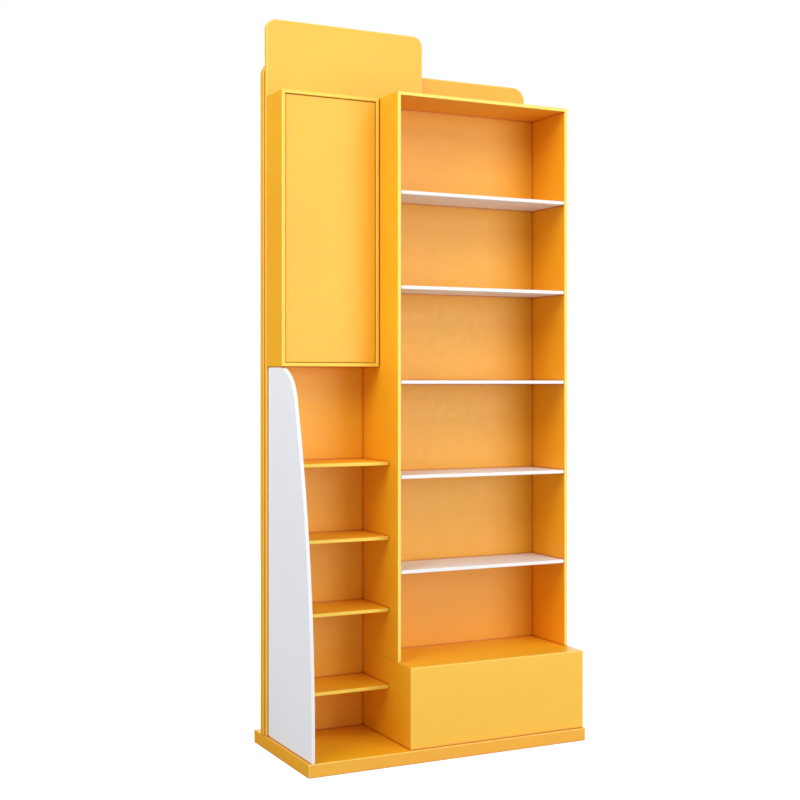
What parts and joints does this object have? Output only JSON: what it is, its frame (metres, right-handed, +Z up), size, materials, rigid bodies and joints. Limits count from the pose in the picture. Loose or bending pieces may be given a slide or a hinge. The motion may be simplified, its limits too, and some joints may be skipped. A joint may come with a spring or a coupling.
{
  "type": "cardboard display stand",
  "caption": "Floor-standing retail display stand of rigid cardboard: tall open shelf cabinet on a closed box, beside a small shelf bay under a closed poster box, on a low base.",
  "frame": {"origin": "under the middle of the base, on the floor", "axes": "+X to the right seen from the front, +Y to the back, +Z up"},
  "size_m": [0.868, 0.41, 2.072],
  "materials": {
    "yellow_board": "satin printed face on rigid paper board",
    "white_board": "satin white face on rigid paper board"
  },
  "bodies": {
    "root": {"back_board": "yellow_board", "base_cover": "yellow_board", "base_rib_front": "yellow_board", "base_rib_left": "yellow_board", "base_rib_middle": "yellow_board", "base_rib_rear": "yellow_board", "base_rib_right": "yellow_board", "bay_shelf_1": "yellow_board", "bay_shelf_2": "yellow_board", "bay_shelf_3": "yellow_board", "bay_shelf_4": "yellow_board", "box_brace_left": "yellow_board", "box_brace_right": "yellow_board", "box_front": "yellow_board", "box_left_side": "yellow_board", "box_right_side": "yellow_board", "box_top": "yellow_board", "cabinet_back": "yellow_board", "cabinet_left_wall": "yellow_board", "cabinet_right_wall": "yellow_board", "cabinet_spacer_1": "yellow_board", "cabinet_spacer_2": "yellow_board", "cabinet_spacer_3": "yellow_board", "cabinet_top": "yellow_board", "header_board": "yellow_board", "poster_box_bottom": "yellow_board", "poster_box_left": "yellow_board", "poster_box_right": "yellow_board", "poster_box_top": "yellow_board", "poster_cleat_left": "yellow_board", "poster_cleat_right": "yellow_board", "poster_panel": "yellow_board", "side_panel": "white_board", "white_shelf_1": "white_board", "white_shelf_2": "white_board", "white_shelf_3": "white_board", "white_shelf_4": "white_board", "white_shelf_5": "white_board"}
  },
  "joints": []
}
